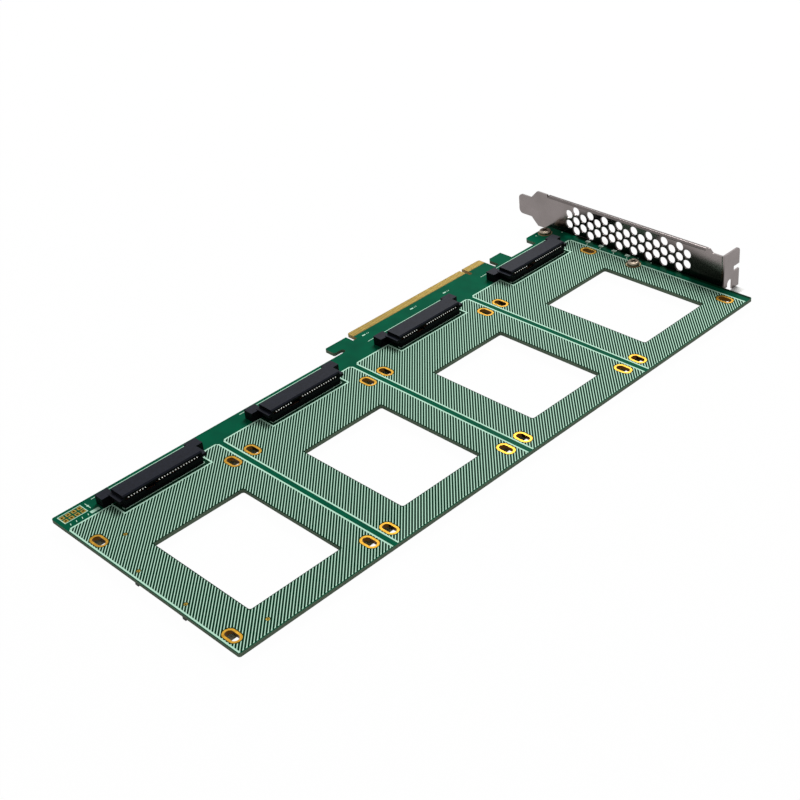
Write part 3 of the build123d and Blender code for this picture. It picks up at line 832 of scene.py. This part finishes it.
# Cold-rolled steel with matt nickel: warm grey, a satin roll grain along the sheet; painted shade on the
# inner face round the vents and on the lip
BRACKET_NICKEL = MetalFinish(
    name="matt_nickel_on_rolled_steel",
    tone="#8b8382",
    second_tone="#7d7674",
    roughness=0.19,
    roughness_drift=0.02,
    drift_mm=14.0,
    grain_mm=0.4,
    grain_depth_mm=0.0004,
    grain_stretch=(1.0, 0.1, 1.0),
    # Painted shade: a dark tone below FootShade's line on the inner face and vent walls, and on the lip
    painted_shade_tone="#3d3836",
    deep=FootShade().mask,
)
# Matt tin on the rounded tips of the upper contacts: small white glints under the hood
TIP_TIN = MetalFinish(
    name="matt_tin_on_tips",
    tone="#ffffff",
    second_tone="#f2f1ec",
    roughness=0.16,
    roughness_drift=0.03,
    drift_mm=0.5,
    grain_mm=0.2,
    grain_depth_mm=0.0003,
)
# Bright nickel on a machine screw: clear, small highlights
SCREW_NICKEL = MetalFinish(
    name="bright_nickel",
    tone="#9c907e",
    second_tone="#83776a",
    roughness=0.24,
    roughness_drift=0.05,
    drift_mm=2.0,
    grain_mm=0.2,
    grain_depth_mm=0.001,
)
# Reflowed solder round the contacts' feet: pale grey, softly shining
SOLDER = MetalFinish(
    name="reflowed_solder",
    tone="#c4c2bd",
    second_tone="#aaa8a3",
    roughness=0.3,
    roughness_drift=0.06,
    drift_mm=0.8,
    grain_mm=0.25,
    grain_depth_mm=0.003,
)
# Glass-filled liquid-crystal polymer, moulded: blue black with a faint grey sheen; its sides darker than
# its top, a painted shade
RECEPTACLE_POLYMER = MouldedFinish(
    name="moulded_black_polymer",
    tone="#1a1d29",
    second_tone="#12141c",
    roughness=0.36,
    refraction=1.55,
    grain_mm=0.3,
    grain_depth_mm=0.003,
    gloss_level=0.06,
    # Painted shade on the sides
    painted_shade_side_tone="#08080b",
)
# Epoxy moulding compound of chip packages: black, matt from the mould
PACKAGE_EPOXY = MouldedFinish(
    name="epoxy_package",
    tone="#141517",
    second_tone="#1a1b1d",
    roughness=0.55,
    refraction=1.5,
    grain_mm=0.12,
    grain_depth_mm=0.004,
    gloss_level=0.2,
)
# Cast milky epoxy of a lamp: a pale green white, smooth and glossy
LAMP_EPOXY = MouldedFinish(
    name="milky_lamp_epoxy",
    tone="#c4d8c8",
    second_tone="#aec7b5",
    roughness=0.25,
    refraction=1.5,
    grain_mm=0.4,
    grain_depth_mm=0.001,
)


def dress(node: str, material: bpy.types.Material) -> None:
    """Gives a carried-over node its material.

    Args:
        node: The node's name in the frame.
        material: What it is made of.
    """
    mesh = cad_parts[node].data
    mesh.materials.clear()
    mesh.materials.append(material)
    LOG.info("dressed %s with %s", node, material.name)


def place_piece(
    name: str, mesh: bpy.types.Mesh, material: bpy.types.Material
) -> bpy.types.Object:
    """Makes an object of a finished mesh and lets it ride on the card.

    Args:
        name: The piece's name.
        mesh: Its mesh, in metres in the card's frame.
        material: What it is made of.

    Returns:
        The new object.
    """
    mesh.materials.clear()
    mesh.materials.append(material)
    piece = bpy.data.objects.new(name, mesh)
    bpy.context.scene.collection.objects.link(piece)
    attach(piece, "root")
    LOG.info("made %s with %d faces", name, len(mesh.polygons))
    return piece


def make_piece(
    name: str,
    points_mm: np.ndarray,
    faces: list[tuple[int, ...]],
    material: bpy.types.Material,
) -> bpy.types.Object:
    """Makes a smooth-shaded piece from worked-out points.

    Args:
        name: The piece's name.
        points_mm: One row per vertex, in millimetres.
        faces: The vertex numbers of each face.
        material: What it is made of.

    Returns:
        The new object.
    """
    mesh = bpy.data.meshes.new(name)
    mesh.from_pydata((points_mm * MM).tolist(), [], faces)
    mesh.polygons.foreach_set("use_smooth", np.full(len(mesh.polygons), True))
    mesh.update()
    return place_piece(name, mesh, material)


def rounded_copy(
    node: str,
    radius_mm: float,
    material: bpy.types.Material,
    chosen: Callable[[np.ndarray], bool],
) -> bpy.types.Object:
    """Makes a copy of a node with some of its sharp edges rounded, to stand for the node.

    Only narrow faces, which belong to a rounding or a bend, are shaded smooth.

    Args:
        node: The node's name in the frame.
        radius_mm: How far the rounding reaches from the edge.
        material: What it is made of.
        chosen: Says of an edge, from its two ends in millimetres, whether it is rounded.

    Returns:
        The new object.
    """
    work = bmesh.new()
    work.from_mesh(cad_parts[node].data)
    bmesh.ops.remove_doubles(work, verts=work.verts, dist=WELD_MM * MM)
    bmesh.ops.dissolve_limit(
        work, angle_limit=math.radians(FLAT_DEGREES), verts=work.verts, edges=work.edges
    )
    sharp = math.radians(SHARP_DEGREES)
    edges = [
        edge
        for edge in work.edges
        if edge.is_manifold
        and edge.calc_face_angle(0.0) > sharp
        and chosen(np.array([vertex.co / MM for vertex in edge.verts]))
    ]
    bmesh.ops.bevel(
        work,
        geom=edges,
        offset=radius_mm * MM,
        offset_type="OFFSET",
        segments=ROUND_FLATS,
        profile=ROUND_PROFILE,
        affect="EDGES",
        clamp_overlap=True,
    )
    for face in work.faces:
        face.smooth = 2.0 * face.calc_area() / face.calc_perimeter() < NARROW_MM * MM
    mesh = bpy.data.meshes.new(f"{node}_rounded")
    work.to_mesh(mesh)
    work.free()
    piece = place_piece(f"{node}_rounded", mesh, material)
    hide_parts(node)
    return piece


def domes(
    centres_mm: np.ndarray, half_mm: tuple[float, float], high_mm: float, sides: int = 10
) -> tuple[np.ndarray, list[tuple[int, ...]]]:
    """Works out low closed domes on a flat face, all alike.

    A dome is a stack of oval rings whose width falls and whose height rises as the cosine and
    sine of one angle, with one point at its top and one in the middle of its flat foot.

    Args:
        centres_mm: One row per dome, the middle of its foot.
        half_mm: Half its length along X and along Y.
        high_mm: Its height.
        sides: Points round each ring.

    Returns:
        The points and the faces.
    """
    turn = np.arange(sides) * TAU / sides
    lift = np.radians(DOME_LIFTS)
    ring_x = half_mm[0] * np.cos(lift)[:, None] * np.cos(turn)[None, :]
    ring_y = half_mm[1] * np.cos(lift)[:, None] * np.sin(turn)[None, :]
    ring_z = np.broadcast_to(high_mm * np.sin(lift)[:, None], ring_x.shape)
    rings = np.stack([ring_x, ring_y, ring_z], axis=-1).reshape(-1, 3)
    one = np.vstack([rings, [[0.0, 0.0, high_mm], [0.0, 0.0, 0.0]]])
    top, foot = len(one) - 2, len(one) - 1
    last = sides * (len(lift) - 1)
    faces: list[tuple[int, ...]] = []
    for side in range(sides):
        beside = (side + 1) % sides
        faces += [
            (ring + side, ring + beside, ring + sides + beside, ring + sides + side)
            for ring in range(0, last, sides)
        ]
        faces += [(last + side, last + beside, top), (beside, side, foot)]
    return copies(one, faces, centres_mm)


def beads(
    centres_mm: np.ndarray, half_mm: tuple[float, float, float], sides: int = 10, rings: int = 5
) -> tuple[np.ndarray, list[tuple[int, ...]]]:
    """Works out closed ellipsoids, all alike.

    A bead is a stack of rings from its top to its bottom, whose width is the sine and whose height
    is the cosine of the angle from the top, with one point at each end.

    Args:
        centres_mm: One row per bead, its middle.
        half_mm: Half its length along X, Y and Z.
        sides: Points round each ring.
        rings: Number of rings.

    Returns:
        The points and the faces.
    """
    turn = np.arange(sides) * TAU / sides
    drop = np.pi * np.arange(1, rings + 1) / (rings + 1)
    ring_x = np.sin(drop)[:, None] * np.cos(turn)[None, :]
    ring_y = np.sin(drop)[:, None] * np.sin(turn)[None, :]
    ring_z = np.broadcast_to(np.cos(drop)[:, None], ring_x.shape)
    round_points = np.stack([ring_x, ring_y, ring_z], axis=-1).reshape(-1, 3)
    one = np.vstack([round_points, [[0.0, 0.0, 1.0], [0.0, 0.0, -1.0]]]) * np.array(half_mm)
    top, foot = len(one) - 2, len(one) - 1
    last = sides * (rings - 1)
    faces: list[tuple[int, ...]] = []
    for side in range(sides):
        beside = (side + 1) % sides
        faces += [
            (ring + side, ring + sides + side, ring + sides + beside, ring + beside)
            for ring in range(0, last, sides)
        ]
        faces += [(top, side, beside), (foot, last + beside, last + side)]
    return copies(one, faces, centres_mm)


def copies(
    one: np.ndarray, faces: list[tuple[int, ...]], centres_mm: np.ndarray
) -> tuple[np.ndarray, list[tuple[int, ...]]]:
    """Sets a copy of one shape at each centre.

    Args:
        one: The shape's points, in millimetres from its centre.
        faces: Its faces.
        centres_mm: One row per copy.

    Returns:
        The points and the faces of all copies.
    """
    points = (centres_mm[:, None, :] + one[None, :, :]).reshape(-1, 3)
    shifted = [
        tuple(corner + number * len(one) for corner in face)
        for number in range(len(centres_mm))
        for face in faces
    ]
    return points, shifted


@dataclass
class Board:
    """The laminate board with its plating, contacts and print."""

    mask: SolderMaskFinish = field(default_factory=SolderMaskFinish)
    ink: InkFinish = field(default_factory=InkFinish)

    def build(self) -> None:
        """Dresses every node of the board."""
        ink = self.ink.material()
        ring = RING_GOLD.material()
        edge = EDGE_GOLD.material()
        pad = PAD_GOLD.material()
        dress("board", self.mask.material())
        dress("board_print", ink)
        dress("screw_pads", PAD_TIN.material())
        for node in ("edge_contacts_front", "edge_contacts_back"):
            dress(node, edge)
        for node in ("header_pads", "test_pads"):
            dress(node, pad)
        for bay in range(1, BAYS.count + 1):
            dress(f"drive_print_{bay}", ink)
            dress(f"plated_slots_{bay}", ring)


@dataclass
class Receptacles:
    """The four drive receptacles: moulded housings, spring contacts, their tips and their solder."""

    contact: ContactFinish = field(default_factory=ContactFinish)
    middle_mm: float = 4.8
    front_mm: float = 46.6
    mouth_deep_mm: float = 5.0
    mouth_half_mm: float = 17.4
    slot_low_mm: float = 0.5
    slot_high_mm: float = 5.0
    shortest_rounds: float = 4.0
    edge_round_mm: float = 0.16
    tip_round_mm: float = 0.11
    upper_pitch_mm: float = 1.27
    signal_first_mm: float = -15.875
    signal_count: int = 7
    power_first_mm: float = -1.905
    power_count: int = 15
    toe_mm: float = 56.35
    joint_half_mm: tuple[float, float] = (0.45, 1.15)
    joint_high_mm: float = 0.3
    tip_half_mm: tuple[float, float, float] = (0.26, 0.24, 0.22)
    tip_high_mm: float = 3.92
    tip_along_mm: float = 46.62

    def build(self) -> None:
        """Rounds and dresses the housings and the contacts, with their solder and their tips."""
        polymer = RECEPTACLE_POLYMER.material()
        alloy = self.contact.material()
        solder = SOLDER.material()
        tin = TIP_TIN.material()
        for number in range(1, BAYS.count + 1):
            self.make_housing(number, polymer)
            self.make_contacts(number, alloy)
            self.make_joints(number, solder)
            self.make_tips(number, tin)

    def make_housing(self, number: int, material: bpy.types.Material) -> None:
        """Rounds a housing's outer edges and its mouth, but not the narrow contact slots.

        Args:
            number: The bay's number.
            material: The housing's polymer.
        """
        slots_y = BAYS.middle_y + self.front_mm + self.mouth_deep_mm
        middle_x = BAYS.middle_x(number) + self.middle_mm

        def chosen(ends: np.ndarray) -> bool:
            """Takes the long edges, but not those on the board or of the slots in the back wall.

            Args:
                ends: The edge's two ends, in millimetres.

            Returns:
                Whether the edge is rounded.
            """
            through = ends[:, 1].max() > slots_y + WELD_MM and ends[:, 2].min() > self.slot_low_mm
            inside = np.abs(ends[:, 0] - middle_x).max() < self.mouth_half_mm - self.edge_round_mm
            of_slot = through and inside and ends[:, 2].max() < self.slot_high_mm
            long = np.linalg.norm(ends[1] - ends[0]) > self.shortest_rounds * self.edge_round_mm
            low = ends[:, 2].max() < self.edge_round_mm
            return bool(long and not low and not of_slot)

        node = f"receptacle_housing_{number}"
        rounded_copy(node, self.edge_round_mm, material, chosen)

    def make_contacts(self, number: int, material: bpy.types.Material) -> None:
        """Rounds the tips and the bends of a receptacle's contacts.

        Args:
            number: The bay's number.
            material: The contacts' metal.
        """

        def chosen(ends: np.ndarray) -> bool:
            """Takes the edges that run across a contact, which lie at its tip and its bends."""
            return bool(abs(ends[1, 0] - ends[0, 0]) > WELD_MM)

        node = f"receptacle_contacts_{number}"
        rounded_copy(node, self.tip_round_mm, material, chosen)

    def make_joints(self, number: int, material: bpy.types.Material) -> None:
        """Lays a low oval dome of solder over the foot of each upper contact.

        Args:
            number: The bay's number.
            material: The solder.
        """
        centres = self.row_centres(number, self.toe_mm, high_mm=0.0)
        points, faces = domes(centres, self.joint_half_mm, self.joint_high_mm)
        make_piece(f"solder_joints_{number}", points, faces, material)

    def make_tips(self, number: int, material: bpy.types.Material) -> None:
        """Rounds off the front end of each upper contact with a bead.

        Args:
            number: The bay's number.
            material: The tips' plating.
        """
        centres = self.row_centres(number, self.tip_along_mm, self.tip_high_mm)
        points, faces = beads(centres, self.tip_half_mm)
        make_piece(f"contact_tips_{number}", points, faces, material)

    def row_centres(self, number: int, along_mm: float, high_mm: float) -> np.ndarray:
        """Gives a point on each upper contact of a receptacle.

        Args:
            number: The bay's number.
            along_mm: The points' distance from the bay's middle along Y.
            high_mm: Their height.

        Returns:
            One row per contact, in millimetres.
        """
        signal = self.signal_first_mm + self.upper_pitch_mm * np.arange(self.signal_count)
        power = self.power_first_mm + self.upper_pitch_mm * np.arange(self.power_count)
        across = np.concatenate([signal, power]) + BAYS.middle_x(number) + self.middle_mm
        along = np.full_like(across, BAYS.middle_y + along_mm)
        return np.stack([across, along, np.full_like(across, high_mm)], axis=1)


@dataclass
class SlotBracket:
    """The folded slot bracket and the two screws that hold it."""

    edge_round_mm: float = 0.12
    shortest_mm: float = 0.9
    lip_mm: float = 14.5
    thread_radius_mm: float = 1.45
    thread_pitch_mm: float = 0.5
    thread_depth_mm: float = 0.2
    thread_rise_pitches: tuple[float, float, float] = (0.0, 0.15, 0.3)
    thread_turns: float = 1.0
    thread_steps: int = 24
    screw_x_mm: float = 51.9
    screw_ys_mm: tuple[float, float] = (-7.4, -60.9)

    def build(self) -> None:
        """Rounds and dresses the sheet, dresses the screws and winds their threads."""
        nickel = BRACKET_NICKEL.material()
        bright = SCREW_NICKEL.material()
        rounded_copy("bracket", self.edge_round_mm, nickel, self.is_sheet_edge)
        dress("bracket_screws", bright)
        for number, screw_y in enumerate(self.screw_ys_mm, 1):
            self.make_thread(number, screw_y, bright)

    def is_sheet_edge(self, ends: np.ndarray) -> bool:
        """Takes the long straight edges of the sheet, not its lip or the flats of its holes."""
        long = np.linalg.norm(ends[1] - ends[0]) > self.shortest_mm
        return bool(long and ends[:, 2].min() < self.lip_mm)

    def make_thread(self, number: int, screw_y: float, material: bpy.types.Material) -> None:
        """Winds the thread's ridge round the end of a screw.

        The ridge is a triangle carried along a helix: its three corners turn with the angle and
        fall by one pitch in a turn.

        Args:
            number: The screw's number.
            screw_y: Its place along Y in millimetres.
            material: The screw's metal.
        """
        tip_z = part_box("bracket_screws")[0][2] / MM
        angle = np.linspace(0.0, TAU * self.thread_turns, self.thread_steps + 1)
        fall = tip_z + self.thread_pitch_mm * (self.thread_turns - angle / TAU)
        reach = np.array([0.0, self.thread_depth_mm, 0.0]) - WELD_MM
        rise = np.array(self.thread_rise_pitches) * self.thread_pitch_mm
        radius = self.thread_radius_mm + reach
        points = np.stack(
            [
                self.screw_x_mm + radius[None, :] * np.cos(angle)[:, None],
                screw_y + radius[None, :] * np.sin(angle)[:, None],
                fall[:, None] + rise[None, :],
            ],
            axis=-1,
        ).reshape(-1, 3)
        corners = len(rise)
        faces: list[tuple[int, ...]] = []
        for step in range(self.thread_steps):
            for corner in range(corners):
                beside = (corner + 1) % corners
                at, onward = step * corners, (step + 1) * corners
                faces.append((at + corner, onward + corner, onward + beside, at + beside))
        end = self.thread_steps * corners
        faces += [(0, 1, 2), (end + 2, end + 1, end)]
        make_piece(f"screw_thread_{number}", points, faces, material)


@dataclass
class SmallParts:
    """Status lamps and the parts on the solder side."""

    capacitor: CapacitorFinish = field(default_factory=CapacitorFinish)

    def build(self) -> None:
        """Dresses the lamps, the packages and the capacitors."""
        epoxy = PACKAGE_EPOXY.material()
        dress("status_lamps", LAMP_EPOXY.material())
        dress("edge_parts", epoxy)
        dress("clock_buffer", epoxy)
        dress("bulk_capacitors", self.capacitor.material())


@dataclass
class Studio:
    """A pale floor, a large lamp behind the bracket side, a soft sky and the camera."""

    floor_drop_mm: float = 0.05
    floor_half_m: float = 3.0
    floor_tone: str = "#f2f2f0"
    floor_white: float = 0.985
    slot_y_mm: float = 38.3
    lit_x_mm: tuple[float, float] = (-21.5, 29.5)
    shade_y_mm: tuple[float, float] = (2.4, 7.2)
    edge_in_mm: float = 2.5
    key_azimuth: float = 117.0
    key_elevation: float = 50.0
    key_distance_m: float = 1.6
    key_side_m: float = 0.7
    key_watts: float = 24.0
    sky_tone: str = "#ffffff"
    sky_strength: float = 0.3
    eye_mm: tuple[float, float, float] = (-407.238, -415.833, 312.030)
    azimuth: float = -42.9989
    elevation: float = 32.9799
    roll: float = -4.9858
    focal_px: float = 1411.86
    centre_px: tuple[float, float] = (440.0, 390.0)
    sensor_mm: float = 36.0
    clip_m: tuple[float, float] = (0.01, 20.0)

    def direction(self, azimuth: float, elevation: float) -> np.ndarray:
        """Gives the unit vector from the object towards a viewer.

        Args:
            azimuth: Degrees round the Z axis, from a viewer at -Y.
            elevation: Degrees above the floor.

        Returns:
            The vector.
        """
        turn, lift = math.radians(azimuth), math.radians(elevation)
        flat = math.cos(lift)
        return np.array([math.sin(turn) * flat, -math.cos(turn) * flat, math.sin(lift)])

    def build(self) -> None:
        """Makes the floor, the sky, the lamp and the camera."""
        self.make_floor()
        self.make_sky()
        self.make_lamp()
        self.make_camera()

    def make_floor(self) -> None:
        """Lays a plain floor under the lowest point: white to the camera, but it keeps shadows."""
        low = CAD_BOUNDS[0][2] - self.floor_drop_mm * MM
        half = self.floor_half_m
        corners = [(-half, -half, low), (half, -half, low), (half, half, low), (-half, half, low)]
        mesh = bpy.data.meshes.new("floor")
        mesh.from_pydata(corners, [], [(0, 1, 2, 3)])
        mesh.materials.append(self.floor_material())
        floor = bpy.data.objects.new("floor", mesh)
        bpy.context.scene.collection.objects.link(floor)

    def seen_white(self, tree: bpy.types.NodeTree) -> bpy.types.NodeSocket:
        """Gives one for rays from the camera and for those that mirror or pass, and zero for light.

        Args:
            tree: The node tree of the floor's material or of the world.

        Returns:
            The mask's socket.
        """
        path = add_node(tree, "ShaderNodeLightPath")
        shiny = math_node(tree, "MAXIMUM", path.outputs["Is Camera Ray"], path.outputs["Is Glossy Ray"])
        return math_node(tree, "MAXIMUM", shiny, path.outputs["Is Transmission Ray"])

    def under_slots(self, tree: bpy.types.NodeTree) -> bpy.types.NodeSocket:
        """Gives one on the floor just under the fixing slots, where it keeps its own shade.

        Args:
            tree: The floor material's node tree.

        Returns:
            The mask's socket.
        """
        place = add_node(tree, "ShaderNodeSeparateXYZ", links={0: object_place(tree)})
        offset = BAYS.offset(tree, place.outputs["X"])
        card_ends = (CAD_BOUNDS[0][0] / MM + self.edge_in_mm, CAD_BOUNDS[1][0] / MM)
        under_card = between(tree, place.outputs["X"], *card_ends)
        beside_window = inverse(tree, between(tree, offset, *self.lit_x_mm))
        near, far = BAYS.middle_y - self.slot_y_mm, BAYS.middle_y + self.slot_y_mm
        start, end = self.shade_y_mm
        rows = math_node(
            tree,
            "MAXIMUM",
            between(tree, place.outputs["Y"], near + start, near + end),
            between(tree, place.outputs["Y"], far + start, far + end),
        )
        return math_node(tree, "MULTIPLY", under_card, math_node(tree, "MULTIPLY", beside_window, rows))

    def floor_material(self) -> bpy.types.Material:
        """Builds the floor's matt white paint: white but for a faint shadow, and clear from below.

        Returns:
            The material.
        """
        material = bpy.data.materials.new("painted_floor")
        material.use_nodes = True
        tree = material.node_tree
        tree.nodes.clear()
        paint = add_node(tree, "ShaderNodeBsdfDiffuse", values={"Color": linear(self.floor_tone)})
        white = add_node(tree, "ShaderNodeEmission", values={"Strength": 1.0})
        open_floor = math_node(tree, "MULTIPLY", inverse(tree, self.under_slots(tree)), self.floor_white)
        share = math_node(tree, "MULTIPLY", self.seen_white(tree), open_floor)
        mix = add_node(
            tree,
            "ShaderNodeMixShader",
            links={0: share, 1: paint.outputs["BSDF"], 2: white.outputs["Emission"]},
        )
        clear = add_node(tree, "ShaderNodeBsdfTransparent")
        from_below = add_node(tree, "ShaderNodeNewGeometry").outputs["Backfacing"]
        sided = add_node(
            tree,
            "ShaderNodeMixShader",
            links={0: from_below, 1: mix.outputs["Shader"], 2: clear.outputs["BSDF"]},
        )
        add_node(tree, "ShaderNodeOutputMaterial", links={"Surface": sided.outputs["Shader"]})
        return material

    def make_sky(self) -> None:
        """Lights the object evenly and shows white behind it."""
        world = bpy.data.worlds.new("studio")
        world.use_nodes = True
        tree = world.node_tree
        tree.nodes.clear()
        soft = add_node(tree, "ShaderNodeBackground", values={"Strength": self.sky_strength})
        white = add_node(tree, "ShaderNodeBackground", values={"Strength": 1.0})
        for background in (soft, white):
            background.inputs["Color"].default_value = linear(self.sky_tone)
        mix = add_node(
            tree,
            "ShaderNodeMixShader",
            links={
                0: self.seen_white(tree),
                1: soft.outputs["Background"],
                2: white.outputs["Background"],
            },
        )
        add_node(tree, "ShaderNodeOutputWorld", links={"Surface": mix.outputs["Shader"]})
        bpy.context.scene.world = world

    def make_lamp(self) -> None:
        """Hangs one large square lamp behind the bracket, so that its inner face is in shade."""
        middle = np.array(CAD_BOUNDS).mean(axis=0)
        toward = self.direction(self.key_azimuth, self.key_elevation)
        light = bpy.data.lights.new("key", "AREA")
        light.shape = "SQUARE"
        light.size = self.key_side_m
        light.energy = self.key_watts
        lamp = bpy.data.objects.new("key", light)
        lamp.location = Vector(middle + toward * self.key_distance_m)
        lamp.rotation_euler = Vector(toward).to_track_quat("Z", "Y").to_euler()
        bpy.context.scene.collection.objects.link(lamp)

    def make_camera(self) -> None:
        """Stands the camera so that the card is seen and framed as in the photograph, to a few pixels."""
        back = self.direction(self.azimuth, self.elevation)
        turn = math.radians(self.azimuth)
        right = np.array([math.cos(turn), math.sin(turn), 0.0])
        up = np.cross(back, right)
        tip = math.radians(self.roll)
        tipped_right = right * math.cos(tip) + up * math.sin(tip)
        tipped_up = np.cross(back, tipped_right)
        matrix = np.eye(4)
        matrix[:3, :3] = np.stack([tipped_right, tipped_up, back], axis=1)
        matrix[:3, 3] = np.array(self.eye_mm) * MM
        lens = bpy.data.cameras.new("camera")
        lens.sensor_width = self.sensor_mm
        lens.lens = self.sensor_mm * self.focal_px / PHOTO_SIDE
        lens.shift_x = (PHOTO_SIDE / 2 - self.centre_px[0]) / PHOTO_SIDE
        lens.shift_y = (self.centre_px[1] - PHOTO_SIDE / 2) / PHOTO_SIDE
        lens.clip_start, lens.clip_end = self.clip_m
        camera = bpy.data.objects.new("camera", lens)
        camera.matrix_world = Matrix(matrix.tolist())
        bpy.context.scene.collection.objects.link(camera)
        bpy.context.scene.camera = camera


def main() -> None:
    """Builds the studio and every sub-assembly."""
    logging.basicConfig(level=logging.INFO, format="%(name)s %(message)s")
    bpy.context.scene.view_settings.view_transform = "Standard"
    builders: list[Callable[[], None]] = [
        Studio().build,
        Board().build,
        Receptacles().build,
        SlotBracket().build,
        SmallParts().build,
    ]
    for build in builders:
        build()


if __name__ == "__main__":
    main()
